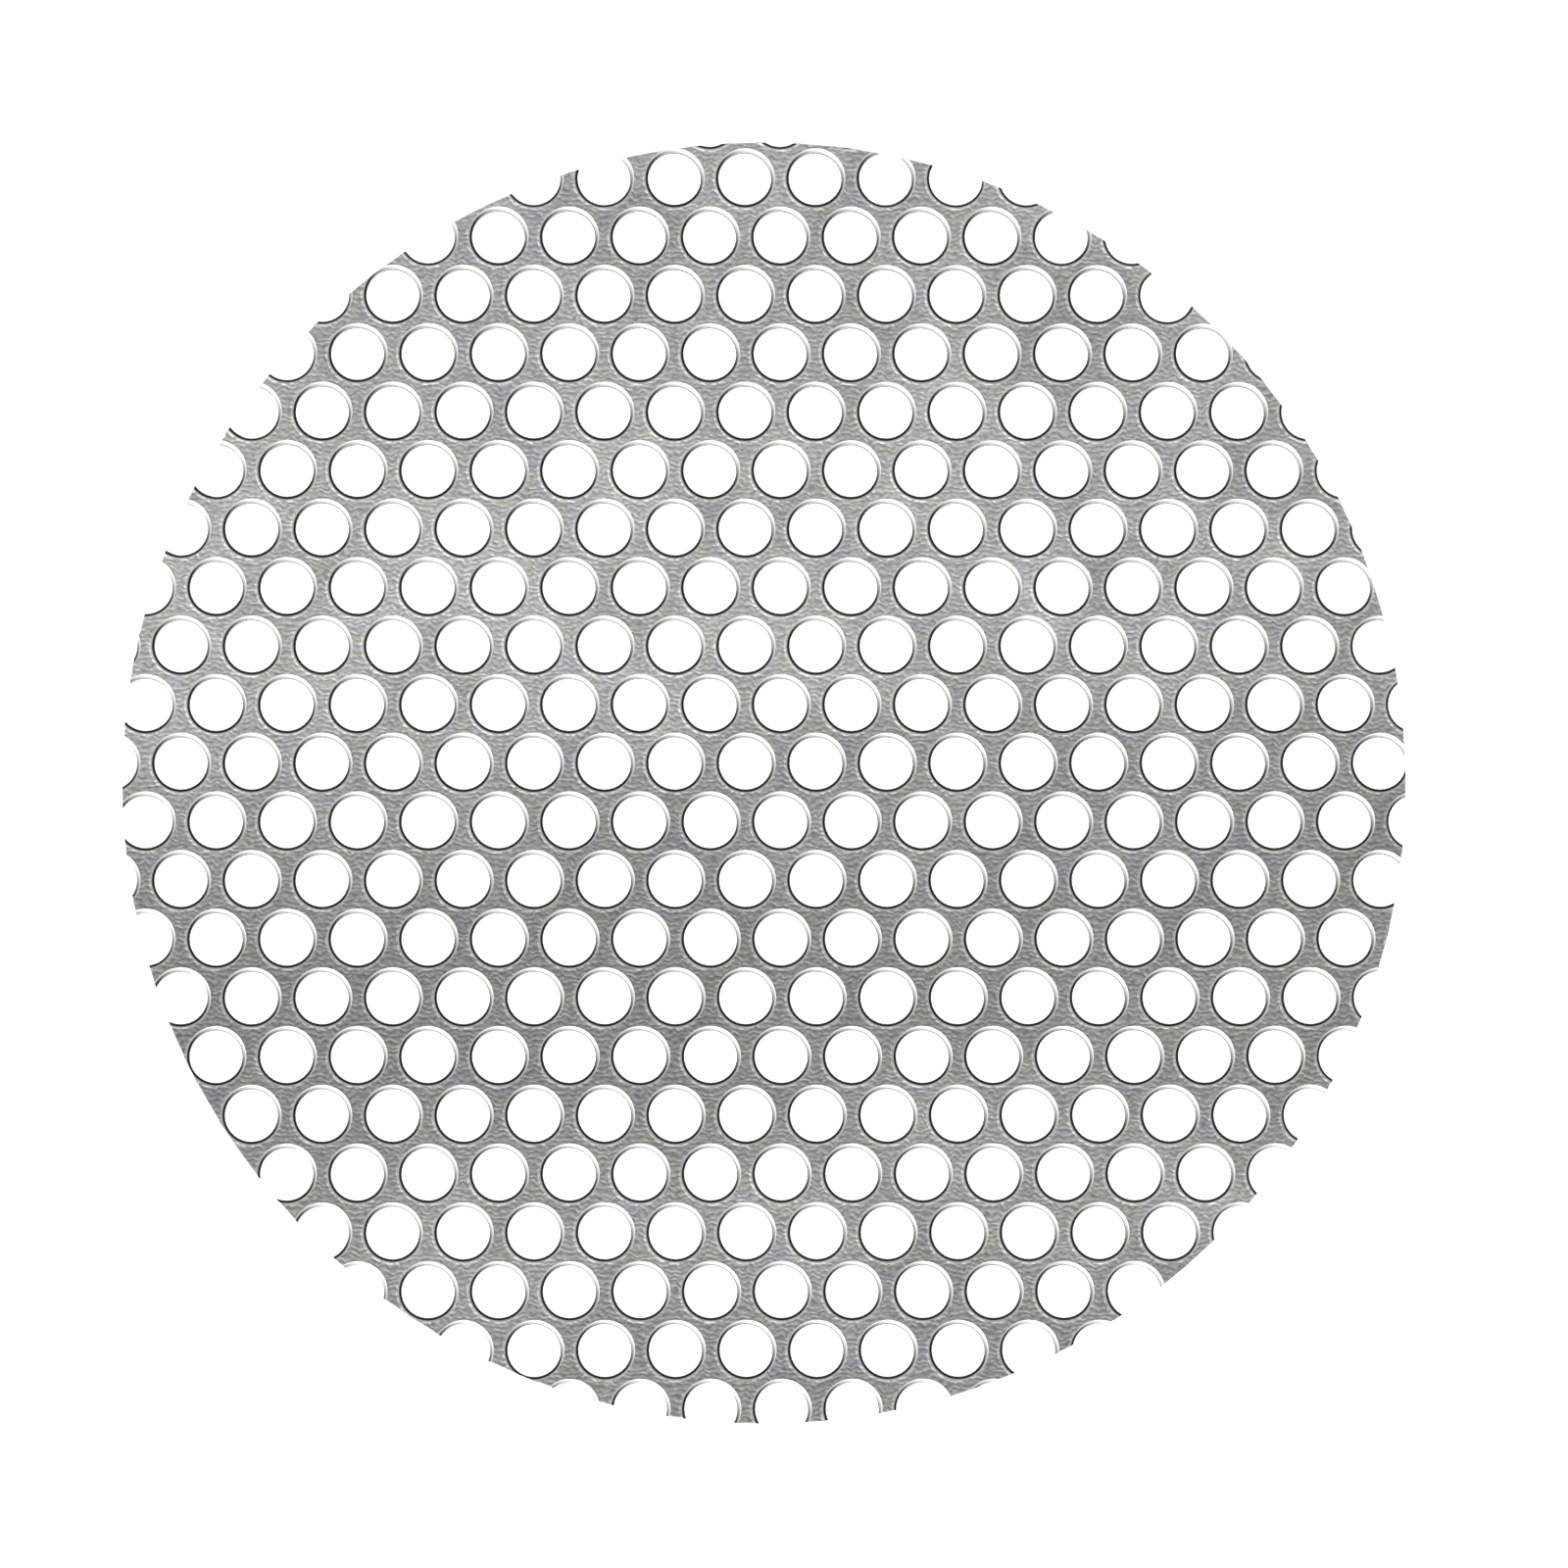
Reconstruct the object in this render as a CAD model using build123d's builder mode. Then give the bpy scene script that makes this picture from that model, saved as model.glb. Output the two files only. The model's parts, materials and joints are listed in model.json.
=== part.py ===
"""Round disc cut from round-hole perforated steel sheet.

The sheet was punched all over, with every other row shifted by half a pitch, and the disc
was cut out of it afterwards. It therefore has no plain border, and its rim runs straight
through the holes that it meets. The disc lies flat, with its underside on z = 0 and its rows of
holes along X. The origin is the disc's centre on its underside.
"""

import os
from math import ceil, hypot

from build123d import *

# Driving dimensions, in millimetres
disc_diameter = 145.6
sheet_thickness = 2.0
hole_diameter = 6.0
hole_pitch = 8.0  # from hole to hole along a row
row_pitch = 6.66  # from row to row
first_hole_x = -2.13  # the hole that lies nearest the disc's centre: the disc was cut
first_hole_y = 2.1  # without regard to the pattern, so no hole is centred in it

disc_radius = disc_diameter / 2
hole_radius = hole_diameter / 2
stagger = hole_pitch / 2  # the shift of every other row


def hole_centres():
    """The centres of all holes that reach into the disc, row by row."""
    reach = disc_radius + hole_radius
    last_row = ceil((reach + abs(first_hole_y)) / row_pitch)
    last_column = ceil((reach + abs(first_hole_x) + stagger) / hole_pitch)
    centres = []
    for row in range(-last_row, last_row + 1):
        row_shift = stagger if row % 2 else 0
        for column in range(-last_column, last_column + 1):
            x = first_hole_x + row_shift + column * hole_pitch
            y = first_hole_y + row * row_pitch
            if hypot(x, y) < reach:
                centres.append((x, y))
    return centres


with BuildPart() as perforated_sheet:
    with BuildSketch() as disc_outline:
        Circle(disc_radius)
    extrude(amount=sheet_thickness)

    # The punch's pattern goes right through, and leaves open bites in the rim
    with BuildSketch() as punched_holes:
        with Locations(*hole_centres()):
            Circle(hole_radius)
    extrude(amount=sheet_thickness, mode=Mode.SUBTRACT)

perforated_sheet.part.label = "perforated_sheet"

os.makedirs("parts", exist_ok=True)
export_step(perforated_sheet.part, "parts/perforated_sheet.step")
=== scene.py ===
# %% [markdown]
# # A round disc of perforated stainless steel sheet
#
# The real thing is one piece of stock. A press punched rows of round holes through a large
# sheet, a belt brushed its face, and a disc was then cut out of it without regard to the holes.
# This lesson rebuilds that order of work in Blender: a blank, a punch, a cut, a finish.

# %% Load the fixed frame
import json
from math import acos, asin, cos, degrees, hypot, pi, radians, sin

import bpy
import numpy as np
from mathutils import Matrix, Vector


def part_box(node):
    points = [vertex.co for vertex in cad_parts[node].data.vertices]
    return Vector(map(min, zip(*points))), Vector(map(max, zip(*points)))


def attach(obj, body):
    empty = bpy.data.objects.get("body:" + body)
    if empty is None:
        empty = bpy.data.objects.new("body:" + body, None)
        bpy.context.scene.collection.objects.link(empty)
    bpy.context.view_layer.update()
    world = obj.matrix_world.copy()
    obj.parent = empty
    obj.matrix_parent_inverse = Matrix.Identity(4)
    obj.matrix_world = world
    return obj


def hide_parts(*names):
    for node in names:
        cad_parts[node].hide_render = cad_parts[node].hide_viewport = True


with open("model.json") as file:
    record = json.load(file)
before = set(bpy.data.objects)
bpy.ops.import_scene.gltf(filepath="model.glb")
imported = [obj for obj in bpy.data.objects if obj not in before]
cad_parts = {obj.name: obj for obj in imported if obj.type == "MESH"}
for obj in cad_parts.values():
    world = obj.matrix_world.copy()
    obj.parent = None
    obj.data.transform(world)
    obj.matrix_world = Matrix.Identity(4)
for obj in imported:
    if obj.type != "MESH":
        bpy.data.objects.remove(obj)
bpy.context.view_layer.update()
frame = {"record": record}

sheet_low, sheet_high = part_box("perforated_sheet")

# %% [markdown]
# ## Sizes
#
# Blender works in metres here, so one millimetre gets a name. The sheet's own sizes come from
# the frame: its box gives the disc and the thickness, and the record's stated holes give the
# hole's radius and one place in the pattern. Only the two pitches are written again.

# %% Sizes of the sheet
mm = 0.001
disc_radius = (sheet_high[0] - sheet_low[0]) / 2
thickness = sheet_high[2] - sheet_low[2]
stated_hole = next(m for m in frame["record"]["mounts"] if m["name"] == "hole_at_3_oclock")
hole_radius = stated_hole["dims"]["r_mm"] * mm
hole_pitch = 8.0 * mm
row_pitch = 6.66 * mm
print(f"disc {2 * disc_radius / mm:.1f} mm across and {thickness / mm:.1f} mm thick")
print(f"holes {2 * hole_radius / mm:.1f} mm across")

# %% [markdown]
# ## What the punch leaves
#
# A punch doesn't cut a clean edge. It first drags the face down around itself, which leaves a
# rolled lip on top. Then it shears the metal, which leaves a smooth bright wall. In the last
# part of its stroke the metal breaks, which leaves a duller, rougher band at the bottom. This
# sheet was brushed after it was punched, so the belt took off the gentlest part of the lip, and
# the face now meets it at a crease. The lip is a shape, so it is modelled, as a short arc. The
# two bands of the wall are a change of finish, and the lower one is also painted dark as
# painted shade at the foot of the wall.

# %% The rolled lip
lip_width = 0.44 * mm  # seen from above
slope_at_face = radians(15)
slope_at_wall = radians(50)
lip_steps = 4

lip_arc = lip_width / (sin(slope_at_wall) - sin(slope_at_face))  # the arc's radius
lip_depth = lip_arc * (cos(slope_at_face) - cos(slope_at_wall))
lip_radius = hole_radius + lip_width


def lip_profile():
    """Radius and height of each step of the lip, from the wall up to the face."""
    steps = []
    for step in range(lip_steps + 1):
        slope = slope_at_wall + (slope_at_face - slope_at_wall) * step / lip_steps
        radius = lip_radius - lip_arc * (sin(slope) - sin(slope_at_face))
        height = thickness - lip_arc * (cos(slope_at_face) - cos(slope))
        steps.append((radius, height))
    return steps


print(f"the lip drops {lip_depth / mm:.2f} mm over {lip_width / mm:.2f} mm")

# %% [markdown]
# ## The pattern
#
# Every other row is shifted by half a pitch, so each hole sits over the gap between two others.
# One stated hole fixes the whole lattice. A hole belongs to the disc if any of it reaches in,
# and that is what leaves the open bites all round the rim.

# %% Find the holes that reach into the disc
def hole_centres():
    """Centres of all holes whose lip reaches into the disc, row by row."""
    start_x, start_y, _ = stated_hole["pos_m"]
    reach = disc_radius + lip_radius
    rows = int(2 * reach / row_pitch)
    columns = int(2 * reach / hole_pitch)
    centres = []
    for row in range(-rows, rows + 1):
        stagger = hole_pitch / 2 if row % 2 else 0
        for column in range(-columns, columns + 1):
            x = start_x + stagger + column * hole_pitch
            y = start_y + row * row_pitch
            if hypot(x, y) < reach:
                centres.append((x, y))
    return centres


centres = hole_centres()
whole = sum(hypot(x, y) + hole_radius <= disc_radius for x, y in centres)
print(len(centres), "holes reach into the disc,", whole, "of them whole")

# %% [markdown]
# ## The blank and the punches
#
# Both the blank and the punches are turned shapes: a profile of radius and height, carried
# round an axis. One function makes the corners and faces of such a shape, so the punches can
# be added up into one mesh, which is quicker to cut with than hundreds of separate ones.

# %% A turned shape
def turned(profile, sides, centre=(0, 0), first=0):
    """Corners and faces of a closed turned shape. profile is (radius, height), from the bottom up."""
    corners, faces = [], []
    for radius, height in profile:
        for side in range(sides):
            angle = 2 * pi * side / sides
            corners.append((centre[0] + radius * cos(angle), centre[1] + radius * sin(angle), height))
    for ring in range(len(profile) - 1):
        for side in range(sides):
            low, low_next = ring * sides + side, ring * sides + (side + 1) % sides
            faces.append((low, low_next, low_next + sides, low + sides))
    top = (len(profile) - 1) * sides
    faces.append(tuple(range(sides - 1, -1, -1)))
    faces.append(tuple(range(top, top + sides)))
    return corners, [tuple(first + corner for corner in face) for face in faces]


def new_piece(name, corners, faces):
    """A mesh object made from corners and faces, linked to the scene."""
    mesh = bpy.data.meshes.new(name)
    mesh.from_pydata(corners, [], faces)
    piece = bpy.data.objects.new(name, mesh)
    bpy.context.scene.collection.objects.link(piece)
    return piece


# %% Turn the blank
rim_break = 0.08 * mm  # the cut edge is deburred by this much
rim_sides = 384
blank_profile = [
    (disc_radius - rim_break, 0),
    (disc_radius, rim_break),
    (disc_radius, thickness - rim_break),
    (disc_radius - rim_break, thickness),
]
sheet = new_piece("punched_sheet", *turned(blank_profile, rim_sides))
print("blank:", len(sheet.data.polygons), "faces")

# %% [markdown]
# ## Why the punch passes through the face
#
# Two surfaces that lie exactly on each other are the hardest case for a Boolean cut. So the
# punch starts well under the sheet, and the last step of its lip ends a hair above the face
# and not on it. The cut then finds one clean circle on the face for every hole.

# %% Make all the punches as one mesh
clear_of_sheet = 0.5 * mm
hair = 0.002 * mm
hole_sides = 36

lip = lip_profile()
lip[-1] = (lip[-1][0], thickness + hair)
punch_profile = [(hole_radius, -clear_of_sheet), *lip, (lip[-1][0] + hair, thickness + clear_of_sheet)]

punch_corners, punch_faces = [], []
for centre in centres:
    corners, faces = turned(punch_profile, hole_sides, centre, first=len(punch_corners))
    punch_corners += corners
    punch_faces += faces
punches = new_piece("punches", punch_corners, punch_faces)
print(len(punch_faces), "faces in", len(centres), "punches")

# %% Punch the blank
cut = sheet.modifiers.new("punch", "BOOLEAN")
cut.operation = "DIFFERENCE"
cut.object = punches
cut.solver = "MANIFOLD"
cut_mesh = bpy.data.meshes.new_from_object(sheet.evaluated_get(bpy.context.evaluated_depsgraph_get()))
sheet.modifiers.clear()
sheet.data = cut_mesh
bpy.data.objects.remove(punches)
cut_mesh.calc_loop_triangles()
print("punched sheet:", len(cut_mesh.vertices), "corners,", len(cut_mesh.loop_triangles), "triangles")

# %% [markdown]
# ## Normals that keep the face flat
#
# Smooth shading averages the faces that meet in a corner. Around each hole that would bend the
# light on the flat face, which a brushed sheet shows at once. The true directions are known
# here, so they are set one by one: straight up on the face, outward on the rim, and in a hole from
# the arc of its lip.

# %% How steep a hole is
def lip_slope(height):
    """How steep the surface of a hole is at a height: level is 0, and the wall is a right angle."""
    drop = thickness - height
    if drop > lip_depth + hair:
        return pi / 2
    cosine = cos(slope_at_face) - min(max(drop, 0), lip_depth) / lip_arc
    return acos(cosine)


# %% The true normals
level_face = 0.999  # a face whose normal rises at least this much is level
outward = 0.9  # and one on the rim points at least this much away from the disc's centre


def true_normals(mesh):
    """One normal for each corner of each face."""
    lattice = np.array(centres)
    normals = []
    for face in mesh.polygons:
        if abs(face.normal.z) > level_face:
            normals += [Vector((0, 0, round(face.normal.z)))] * face.loop_total
            continue
        radial = Vector(face.center[:2]).normalized()
        sideways = Vector(face.normal[:2])
        faces_out = sideways.dot(radial) > outward * sideways.length
        corners = [mesh.vertices[index].co for index in face.vertices]
        on_rim = faces_out and all(hypot(c.x, c.y) > disc_radius - rim_break - hair for c in corners)
        away = ((lattice - face.center[:2]) ** 2).sum(axis=1)
        axis = lattice[int(np.argmin(away))]
        # the middle height of a face tells the wall from the lip, where both share a corner
        in_wall = face.center.z < thickness - lip_depth
        for c in corners:
            if on_rim:
                level = Vector((c.x, c.y)).normalized()
                upright = face.normal.z
            else:
                level = Vector(axis - np.array(c[:2])).normalized()
                upright = 0 if in_wall else cos(lip_slope(c.z))
            across = (1 - upright ** 2) ** 0.5
            normals.append(Vector((level.x * across, level.y * across, upright)))
    return normals


# %% Set them
for face in cut_mesh.polygons:
    face.use_smooth = True
cut_mesh.normals_split_custom_set(true_normals(cut_mesh))
print("true normals at", len(cut_mesh.loops), "corners of faces")

# %% [markdown]
# ## Colours and nodes
#
# Colours are picked as sRGB hex values, as a swatch book gives them. Shaders work in linear
# light, so one function converts them. Another small one adds a node with its settings and its
# links, which keeps each material readable as a list of steps.

# %% Helpers for materials
def linear(hex_colour):
    """An sRGB hex colour, such as c8c8c6, as linear red, green, blue and alpha."""
    channels = [int(hex_colour[i:i + 2], 16) / 255 for i in (0, 2, 4)]
    return [c / 12.92 if c <= 0.04045 else ((c + 0.055) / 1.055) ** 2.4 for c in channels] + [1]


def add(tree, kind, settings=None, **inputs):
    """Add a node. settings are its properties, and an input is a value or a linked socket."""
    node = tree.nodes.new(kind)
    for name, value in (settings or {}).items():
        setattr(node, name, value)
    for name, value in inputs.items():
        key = int(name[1:]) if name[1:].isdigit() else name.replace("_", " ")
        if isinstance(value, bpy.types.NodeSocket):
            tree.links.new(value, node.inputs[key])
        else:
            node.inputs[key].default_value = value
    return node


def empty_material(name):
    """A material with no nodes yet, and its node tree."""
    material = bpy.data.materials.new(name)
    material.use_nodes = True
    material.node_tree.nodes.clear()
    return material, material.node_tree


noise_low, noise_high = 0.3, 0.7  # a noise could reach 0 and 1, but mostly stays between these

# %% [markdown]
# ## How far it is to the nearest hole
#
# The punch also pushed up the metal around each hole, so the material needs to know how far each
# spot is from the nearest one. The pattern is two plain grids, one set into the other. Wrapping a
# position into one cell of a grid gives its offset from that grid's nearest hole, and the nearer
# grid wins.

# %% Distance from the nearest hole's axis
def distance_from_hole(tree, place):
    """A socket with the distance, in metres, from the axis of the nearest hole."""
    start_x, start_y, _ = stated_hole["pos_m"]
    half_cell = (hole_pitch / 2, row_pitch, 1)
    lengths = []
    for grid_x, grid_y in ((0, 0), (hole_pitch / 2, row_pitch)):
        moved = add(tree, "ShaderNodeVectorMath", {"operation": "SUBTRACT"},
                    _0=place, _1=(start_x + grid_x, start_y + grid_y, 0))
        wrapped = add(tree, "ShaderNodeVectorMath", {"operation": "WRAP"}, _0=moved.outputs["Vector"],
                      _1=half_cell, _2=tuple(-side for side in half_cell))
        level = add(tree, "ShaderNodeVectorMath", {"operation": "MULTIPLY"},
                    _0=wrapped.outputs["Vector"], _1=(1, 1, 0))
        length = add(tree, "ShaderNodeVectorMath", {"operation": "LENGTH"}, _0=level.outputs["Vector"])
        lengths.append(length)
    nearer = add(tree, "ShaderNodeMath", {"operation": "MINIMUM"},
                 _0=lengths[0].outputs["Value"], _1=lengths[1].outputs["Value"])
    return nearer.outputs["Value"]


# %% [markdown]
# ## The belt's lines
#
# The finish is the one that the trade calls brushed or satin: an abrasive belt, run along the
# rows. Each grit leaves a hairline a few hundredths of a millimetre wide. That is too fine to
# show here, so the lines are drawn more than ten times coarser. They run side by side, about
# evenly, as the grits do. They wander, because the belt sways, and they break off, because a
# grit only touches for a moment. So a sine of the place across the rows makes the lines, one
# noise pushes them up and down, and a second, stretched one breaks them. Light and dark lines
# differ in tone, and they also tilt the metal a little: the streaky silk that one sees.

# %% The belt's lines
line_spacing = 0.67 * mm
line_height = 0.06 * mm
bend_length = 0.8 * mm  # a line rises and falls over about this distance
bend_depth = 1.3 * mm  # lines that lie nearer than this bend alike
bend_height = 1.2 * mm
break_length, break_width = 0.5 * mm, 0.3 * mm
break_share = 0.5  # how far the breaks outweigh the even lines
dark_line, light_line = 0.25, 0.75
print(f"belt lines {line_spacing / mm:.2f} mm apart")


def belt_lines(tree, place):
    """A socket from 0 to 1 that follows the lines of the belt."""
    along = add(tree, "ShaderNodeMapping", Vector=place,
                Scale=(1 / bend_length, 1 / bend_depth, 1 / bend_depth))
    bends = add(tree, "ShaderNodeTexNoise", Vector=along.outputs["Vector"], Scale=1.0, Detail=0.0)
    across = add(tree, "ShaderNodeSeparateXYZ", Vector=place).outputs["Y"]
    bent = add(tree, "ShaderNodeMath", {"operation": "MULTIPLY_ADD"},
               _0=bends.outputs["Fac"], _1=bend_height, _2=across)
    turns = add(tree, "ShaderNodeMath", {"operation": "MULTIPLY"},
                _0=bent.outputs["Value"], _1=2 * pi / line_spacing)
    wave = add(tree, "ShaderNodeMath", {"operation": "SINE"}, _0=turns.outputs["Value"])
    # the breaks seldom leave the middle half of their range, so the wave stays inside it too
    even = add(tree, "ShaderNodeMapRange", Value=wave.outputs["Value"],
               From_Min=-1.0, To_Min=dark_line, To_Max=light_line)
    stretched = add(tree, "ShaderNodeMapping", Vector=place,
                    Scale=(1 / break_length, 1 / break_width, 1 / break_width))
    breaks = add(tree, "ShaderNodeTexNoise", Vector=stretched.outputs["Vector"], Scale=1.0, Detail=0.0)
    return add(tree, "ShaderNodeMix", _0=break_share, _2=even.outputs["Result"],
               _3=breaks.outputs["Fac"]).outputs["Result"]


# %% [markdown]
# ## Clouds and passes
#
# A belt is narrower than a sheet, so it makes several passes, and no two bite quite alike: the
# sheet has broad bands that are a little lighter or darker. Inside them the tone drifts like a
# cloud, and so does the hue, by so little that one only notices it as life in the grey.

# %% Broad bands and slow clouds
pass_tones = [(-72, 0.16), (-58, 0.26), (-48, 0.43), (-33, 0.07), (-14, 0.04),
              (6, 0.48), (14, 0.79), (30, 0.87), (49, 0.63), (70, 0.72)]
pass_slant = 0.08
cloud_size = 14 * mm
cloud_left, cloud_right = 0.10, 0.40  # the share of the clouds at the left and right edge
cloud_depth = 0.35  # how far a cloud also lightens or darkens the band that it lies on
print(len(pass_tones), "tones across the sheet, and clouds of about", round(cloud_size / mm), "mm")


def slow_tone(tree, place):
    """A socket from 0, dark, to 1, light, that changes slowly over the sheet."""
    drift = add(tree, "ShaderNodeTexNoise", Vector=place, Scale=1 / (3 * cloud_size), Detail=1.0)
    drifted = add(tree, "ShaderNodeVectorMath", {"operation": "MULTIPLY_ADD"},
                  _0=drift.outputs["Color"], _1=(0, cloud_size, 0), _2=place).outputs["Vector"]
    across = add(tree, "ShaderNodeVectorMath", {"operation": "DOT_PRODUCT"},
                 _0=drifted, _1=(-pass_slant, 1, 0)).outputs["Value"]
    # a noise is a half on average, so the drift adds half a cloud
    share = add(tree, "ShaderNodeMapRange", Value=across,
                From_Min=cloud_size / 2 - disc_radius, From_Max=cloud_size / 2 + disc_radius)
    bands = add(tree, "ShaderNodeValToRGB", Fac=share.outputs["Result"])
    bands.color_ramp.interpolation = "CARDINAL"
    for _ in pass_tones[2:]:
        bands.color_ramp.elements.new(0.5)
    for element, (place_mm, tone) in zip(bands.color_ramp.elements, pass_tones):
        element.position = (place_mm * mm + disc_radius) / (2 * disc_radius)
        element.color = (tone, tone, tone, 1)
    clouds = add(tree, "ShaderNodeTexNoise", Vector=place, Scale=1 / cloud_size, Detail=2.0)
    along = add(tree, "ShaderNodeSeparateXYZ", Vector=place).outputs["X"]
    cloudy = add(tree, "ShaderNodeMapRange", Value=along, From_Min=-disc_radius, From_Max=disc_radius,
                 To_Min=cloud_left, To_Max=cloud_right).outputs["Result"]
    clouded = add(tree, "ShaderNodeMix", _0=cloudy, _2=bands.outputs["Color"],
                  _3=clouds.outputs["Fac"]).outputs["Result"]
    depth = add(tree, "ShaderNodeMapRange", Value=clouds.outputs["Fac"],
                From_Min=noise_low, From_Max=noise_high,
                To_Min=1 - cloud_depth, To_Max=1 + cloud_depth).outputs["Result"]
    return add(tree, "ShaderNodeMath", {"operation": "MULTIPLY"}, _0=clouded, _1=depth).outputs["Value"]


# %% [markdown]
# ## Inside the holes
#
# Around each hole the pushed metal stands up as a swelling of about a hundredth of a millimetre.
# It is far too low to model, but it draws a fine halo round the hole. So it is made as height,
# and drawn about three times higher than it is, to show at all among the belt's lines.
# The sheared band of the wall is smooth and bright. The broken band below it is rough, with a
# ragged upper edge, and dark grey: partly its duller metal and partly painted shade, which
# stands in for the shade where the wall meets the table.

# %% The swelling and the broken band
swelling_width = 0.20 * mm
swelling_height = 0.034 * mm
broken_height = 1.1 * mm  # the broken band's mean height from the underside
broken_rise = 0.3 * mm  # how far its upper edge wanders up and down
broken_width = 1.2 * mm  # over this distance
broken_blur = 0.05 * mm
wall_starts, wall_full = 0.3, 0.2  # how upright the surface faces where the wall begins
print(f"swelling {swelling_width / mm:.2f} mm wide, drawn {swelling_height / mm:.3f} mm high")


def swelling(tree, place):
    """A socket with the height of the swelling: full at the lip, and gone a little way out."""
    distance = distance_from_hole(tree, place)
    return add(tree, "ShaderNodeMapRange", Value=distance,
               From_Min=lip_radius, From_Max=lip_radius + swelling_width,
               To_Min=swelling_height, To_Max=0.0).outputs["Result"]


def broken_band_and_shade(tree, place, facing):
    """A socket that is 1 where the punch broke the metal, and 0 elsewhere. It also places the painted
    shade at the foot of the wall.
    """
    on_wall = add(tree, "ShaderNodeMapRange", Value=facing,
                  From_Min=wall_starts, From_Max=wall_full)
    height = add(tree, "ShaderNodeSeparateXYZ", Vector=place).outputs["Z"]
    ragged = add(tree, "ShaderNodeTexNoise", Vector=place, Scale=1 / broken_width, Detail=2.0)
    edge = add(tree, "ShaderNodeMath", {"operation": "MULTIPLY_ADD"},
               _0=ragged.outputs["Fac"], _1=-broken_rise, _2=broken_height)
    depth = add(tree, "ShaderNodeMath", {"operation": "SUBTRACT"}, _0=edge.outputs["Value"], _1=height)
    # a noise is a half on average, so the edge lies half a rise too low, which is made good here
    below = add(tree, "ShaderNodeMapRange", Value=depth.outputs["Value"],
                From_Min=-broken_rise / 2 - broken_blur, From_Max=-broken_rise / 2 + broken_blur)
    return add(tree, "ShaderNodeMath", {"operation": "MULTIPLY"},
               _0=below.outputs["Result"], _1=on_wall.outputs["Result"]).outputs["Value"]


# %% [markdown]
# ## Brushed stainless steel
#
# Chromium-nickel stainless steel is a light, neutral grey metal. The colours are its own, except
# that the dark grey at the foot of each hole is partly painted shade; what one sees on it is
# mostly the room. The belt's valleys are a little darker and rougher than its ridges, and the
# smooth metal inside a hole is lighter and shinier than the brushed face.

# %% Its tones and roughness
valley_dark, ridge_dark = "737373", "b7b7b7"
valley_light, ridge_light = "adadad", "fdfdfd"
cool, warm = "f6f8ff", "fffef6"
hue_patch = 1.6 * mm
# the lower band's dark grey is partly its duller metal and partly painted shade, standing in for the
# shade where each hole's wall meets the table
sheared, broken_grey_and_painted_shade = "cbcbca", "767573"
rough_ridge, rough_valley, rough_sheared, rough_broken = 0.27, 0.36, 0.14, 0.65


def mixed(tree, factor, first, second):
    """A socket with a colour between two, given as hex values or sockets."""
    first, second = (linear(c) if isinstance(c, str) else c for c in (first, second))
    blend = add(tree, "ShaderNodeMix", {"data_type": "RGBA"}, _0=factor, _6=first, _7=second)
    return blend.outputs["Result"]


# %% Where the surface faces
face_ends, lip_starts = 0.99, 0.96  # how upright the surface faces on either side of the crease


def facing_up(tree):
    """A socket that is 1 where the surface is level, and 0 on a wall."""
    normal = add(tree, "ShaderNodeNewGeometry").outputs["Normal"]
    upward = add(tree, "ShaderNodeSeparateXYZ", Vector=normal).outputs["Z"]
    return add(tree, "ShaderNodeMath", {"operation": "ABSOLUTE"}, _0=upward).outputs["Value"]


# %% Relief, tone and roughness
def steel_relief(tree, place, lines, in_hole):
    """A normal that follows the belt's lines on the face, and the swelling round the holes."""
    # the belt can't reach into a hole
    line_relief = add(tree, "ShaderNodeMapRange", Value=in_hole, To_Min=line_height, To_Max=0.0)
    height = add(tree, "ShaderNodeMath", {"operation": "MULTIPLY_ADD"},
                 _0=lines, _1=line_relief.outputs["Result"], _2=swelling(tree, place))
    relief = add(tree, "ShaderNodeBump", Strength=1.0, Distance=1.0, Height=height.outputs["Value"])
    return relief.outputs["Normal"]


def steel_tone(tree, place, contrast, in_hole, broken_and_shade):
    """The colour: lines and slow bands on the face, and two plain bands inside the holes, the lower one
    darkened as painted shade.
    """
    slow = slow_tone(tree, place)
    hue = add(tree, "ShaderNodeTexNoise", Vector=place, Scale=1 / hue_patch, Detail=1.0)
    hue = add(tree, "ShaderNodeMapRange", Value=hue.outputs["Fac"],
              From_Min=noise_low, From_Max=noise_high).outputs["Result"]
    tone = mixed(tree, slow, mixed(tree, contrast, valley_dark, ridge_dark),
                 mixed(tree, contrast, valley_light, ridge_light))
    tone = add(tree, "ShaderNodeMix", {"data_type": "RGBA", "blend_type": "MULTIPLY"}, _0=1.0,
               _6=tone, _7=mixed(tree, hue, cool, warm)).outputs["Result"]
    tone = mixed(tree, in_hole, tone, sheared)
    # the lower band of each wall is painted dark grey: partly its duller metal, partly painted shade at
    # the foot of the wall
    return mixed(tree, broken_and_shade, tone, broken_grey_and_painted_shade)


def steel_roughness(tree, contrast, in_hole, broken_and_shade):
    """The roughness: ridges and valleys on the face, and the two bands inside the holes."""
    rough = add(tree, "ShaderNodeMapRange", Value=contrast, To_Min=rough_valley, To_Max=rough_ridge)
    rough = add(tree, "ShaderNodeMix", _0=in_hole, _2=rough.outputs["Result"], _3=rough_sheared)
    rough = add(tree, "ShaderNodeMix", _0=broken_and_shade, _2=rough.outputs["Result"], _3=rough_broken)
    return rough.outputs["Result"]


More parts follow.
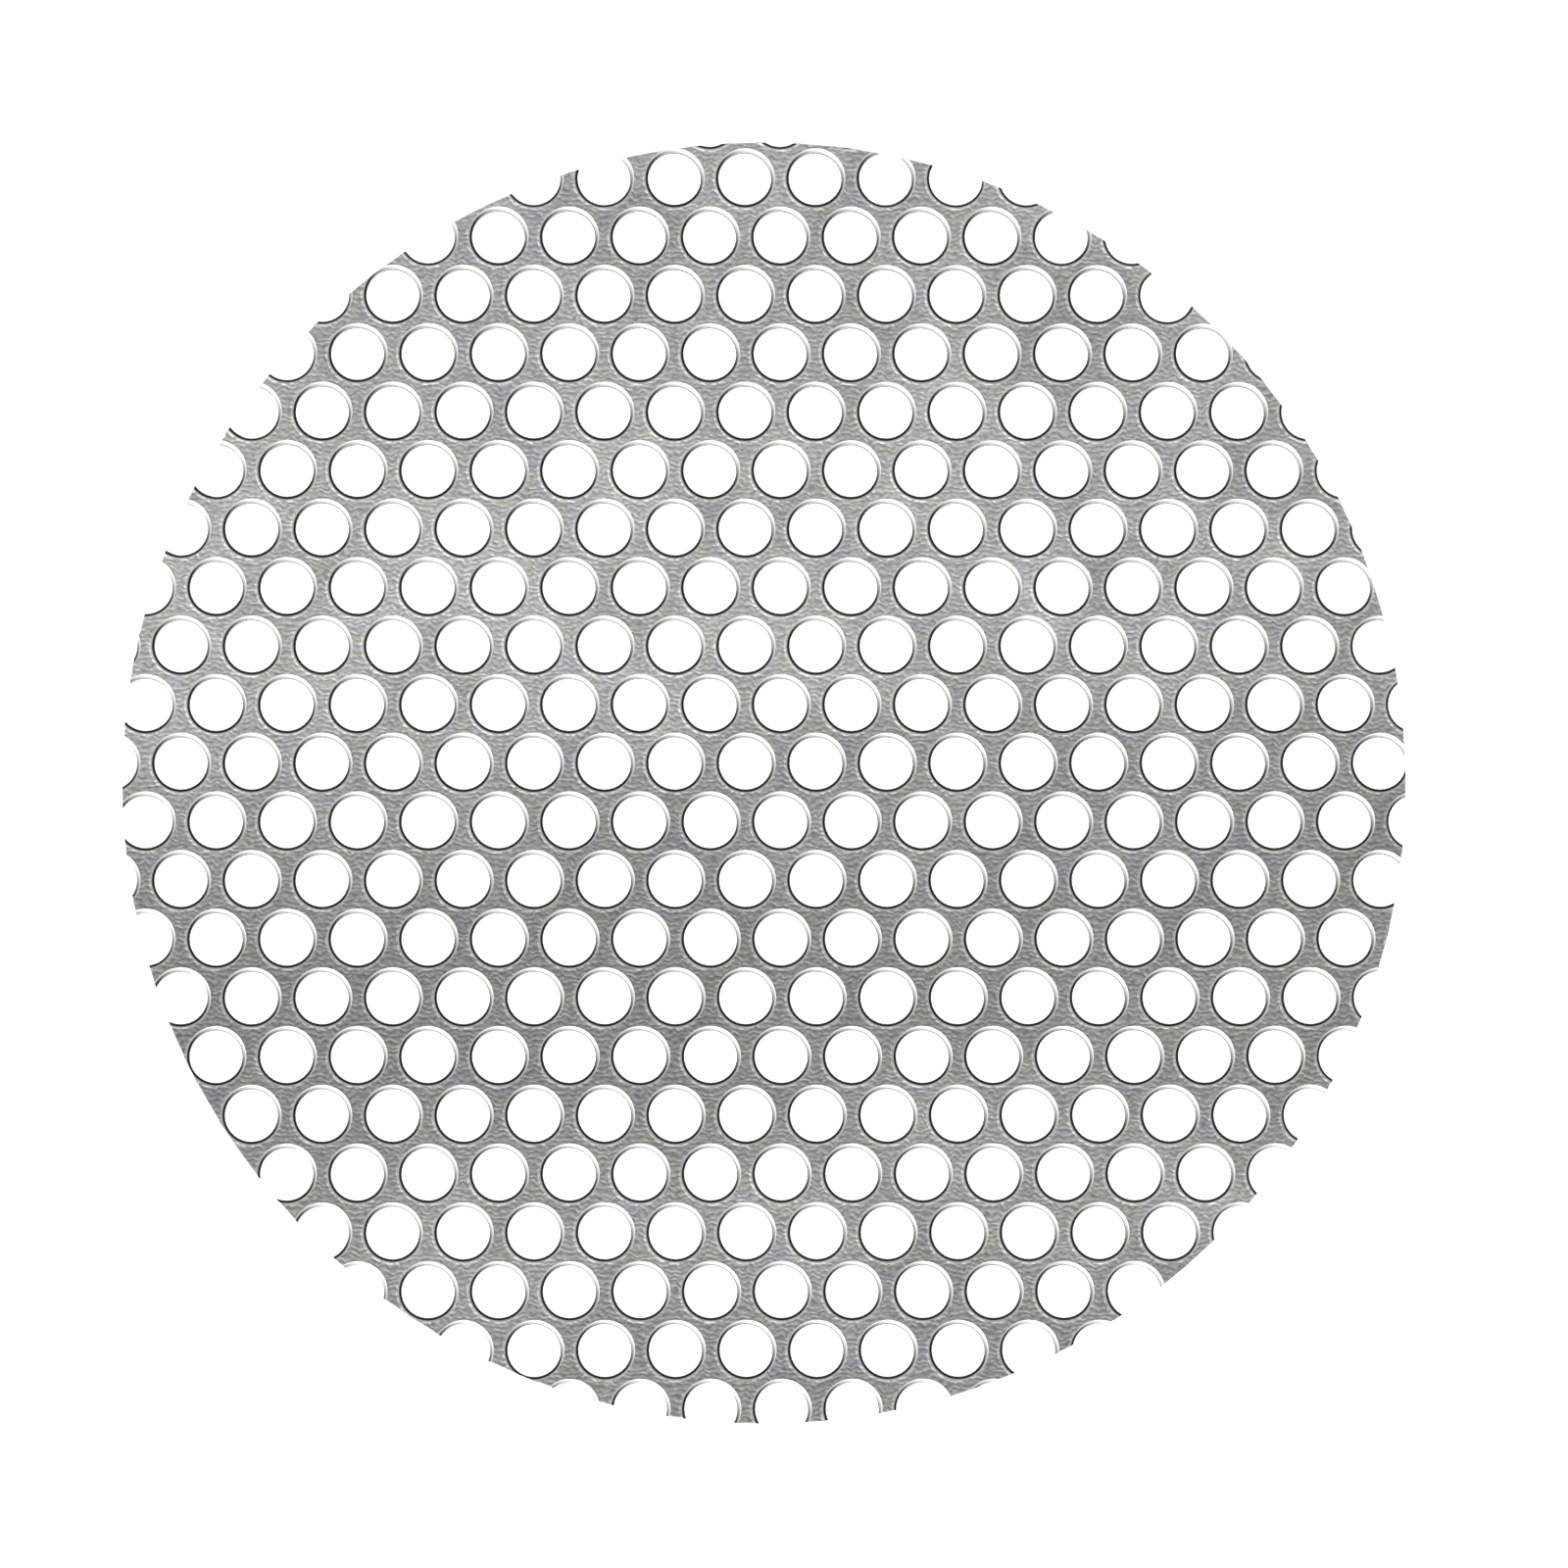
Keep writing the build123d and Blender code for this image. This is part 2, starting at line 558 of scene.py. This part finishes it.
# %% Brushed stainless steel
def brushed_stainless():
    """Brushed stainless steel, with a bright sheared band inside the holes and below it a dull, dark
    grey band that is partly painted shade at the foot of the wall.
    """
    material, tree = empty_material("brushed_stainless")
    place = add(tree, "ShaderNodeTexCoord").outputs["Object"]
    lines = belt_lines(tree, place)
    contrast = add(tree, "ShaderNodeMapRange", Value=lines,
                   From_Min=dark_line, From_Max=light_line).outputs["Result"]
    facing = facing_up(tree)
    in_hole = add(tree, "ShaderNodeMapRange", Value=facing,
                  From_Min=face_ends, From_Max=lip_starts).outputs["Result"]
    # this mask sets the lower band's roughness and also its painted shade at the foot of the wall
    broken_and_shade = broken_band_and_shade(tree, place, facing)
    steel = add(tree, "ShaderNodeBsdfPrincipled", Metallic=1.0,
                Base_Color=steel_tone(tree, place, contrast, in_hole, broken_and_shade),
                Roughness=steel_roughness(tree, contrast, in_hole, broken_and_shade),
                Normal=steel_relief(tree, place, lines, in_hole))
    add(tree, "ShaderNodeOutputMaterial", Surface=steel.outputs["BSDF"])
    return material


# %% Dress the sheet
sheet.data.materials.clear()
sheet.data.materials.append(brushed_stainless())
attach(sheet, "root")
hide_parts("perforated_sheet")
print("brushed_stainless has", len(sheet.data.materials[0].node_tree.nodes), "nodes")

# %% [markdown]
# ## Floor and light
#
# The sheet lies on a pale light table, so the holes read as clean white. The room is one soft
# tent, brightest low in front and to the left, and fading evenly to dim behind. That is what
# turns one side of every lip white and the other dark. High up hangs a ring of bright panels
# round a dimmer opening, through which the camera looks down. The flat face mirrors the opening
# and the panels' edges, so the least tilt of the metal shows as a lighter or darker tone.

# %% A pale light table
table_size = 4.0
table_gap = 0.02 * mm  # keeps the table's face clear of the sheet's underside
table_glow = 0.59
seen_white = 1.05  # the camera itself sees plain white


def light_table_white():
    """Pale acrylic that glows a little."""
    material, tree = empty_material("light_table")
    seen = add(tree, "ShaderNodeLightPath").outputs["Is Camera Ray"]
    glow = add(tree, "ShaderNodeMix", _0=seen, _2=table_glow, _3=seen_white).outputs["Result"]
    surface = add(tree, "ShaderNodeBsdfPrincipled", Base_Color=linear("f2f2f0"), Roughness=0.6,
                  Emission_Color=linear("fffffd"), Emission_Strength=glow)
    add(tree, "ShaderNodeOutputMaterial", Surface=surface.outputs["BSDF"])
    return material


half = table_size / 2
table = new_piece("light_table", [(-half, -half, -table_gap), (half, -half, -table_gap),
                                  (half, half, -table_gap), (-half, half, -table_gap)], [(0, 1, 2, 3)])
table.data.materials.append(light_table_white())
print(f"light table {table_size:.0f} m across")

# %% A soft tent of light
brightest = Vector((-0.49, -0.76, 0.42)).normalized()
bright = 2.16
falloff = 2.1
# how bright the tent's upper part is: from low down, over the panels, to the opening overhead
roof = [(0.50, 0.02), (0.60, 0.055), (0.72, 0.81), (0.88, 0.81), (0.95, 0.455), (0.99, 0.215)]
print(f"the tent is brightest {degrees(asin(brightest.z)):.0f} degrees above the table")


def light_tent():
    """World light that fades evenly from its brightest direction, and has panels high up."""
    world = bpy.data.worlds.new("light_tent")
    world.use_nodes = True
    tree = world.node_tree
    tree.nodes.clear()
    direction = add(tree, "ShaderNodeTexCoord").outputs["Generated"]
    towards = add(tree, "ShaderNodeVectorMath", {"operation": "DOT_PRODUCT"},
                  _0=direction, _1=brightest).outputs["Value"]
    lit_half = add(tree, "ShaderNodeMath", {"operation": "MAXIMUM"}, _0=towards, _1=0.0)
    faded = add(tree, "ShaderNodeMath", {"operation": "POWER"},
                _0=lit_half.outputs["Value"], _1=falloff)
    upward = add(tree, "ShaderNodeSeparateXYZ", Vector=direction).outputs["Z"]
    overhead = add(tree, "ShaderNodeValToRGB", Fac=upward)
    overhead.color_ramp.interpolation = "B_SPLINE"
    for _ in roof[2:]:
        overhead.color_ramp.elements.new(0.5)
    for element, (height, glow) in zip(overhead.color_ramp.elements, roof):
        element.position = height
        element.color = (glow, glow, glow, 1)
    level = add(tree, "ShaderNodeMath", {"operation": "MULTIPLY_ADD"},
                _0=faded.outputs["Value"], _1=bright, _2=overhead.outputs["Color"])
    seen = add(tree, "ShaderNodeLightPath").outputs["Is Camera Ray"]
    level = add(tree, "ShaderNodeMix", _0=seen, _2=level.outputs["Value"], _3=seen_white)
    glow = add(tree, "ShaderNodeBackground", Color=linear("ffffff"), Strength=level.outputs["Result"])
    add(tree, "ShaderNodeOutputWorld", Surface=glow.outputs["Background"])
    return world


scene = bpy.context.scene
scene.world = light_tent()
scene.view_settings.view_transform = "Standard"

# %% [markdown]
# ## Camera
#
# The camera looks straight down on the sheet, leaning a few degrees to the front left, which is
# why the far walls of the holes show. Its lens is long, so every hole is seen at nearly the same
# angle. The rows stay level in the frame because the camera's own X axis is the sheet's.

# %% Camera over the sheet
lean = radians(4)
lean_towards = Vector((-0.28, -0.96, 0)).normalized()
lens = 400
sensor = 36
disc_share = 0.8189  # the disc's width as a share of the frame's
sideways, upwards = 0.0125, -0.0017  # the disc sits a little left of the middle

back = Vector((0, 0, cos(lean))) + lean_towards * sin(lean)
right = (Vector((1, 0, 0)) - back * back.x).normalized()
up = back.cross(right)
distance = 2 * disc_radius / disc_share * lens / sensor
middle = Vector((0, 0, thickness))

camera_data = bpy.data.cameras.new("camera")
camera_data.lens = lens
camera_data.sensor_width = sensor
camera_data.shift_x = sideways
camera_data.shift_y = upwards
camera_data.clip_end = 10
camera = bpy.data.objects.new("camera", camera_data)
scene.collection.objects.link(camera)
turn = Matrix((right, up, back)).transposed().to_4x4()
camera.matrix_world = Matrix.Translation(middle + back * distance) @ turn
scene.camera = camera
print(f"camera {distance:.2f} m from the sheet")
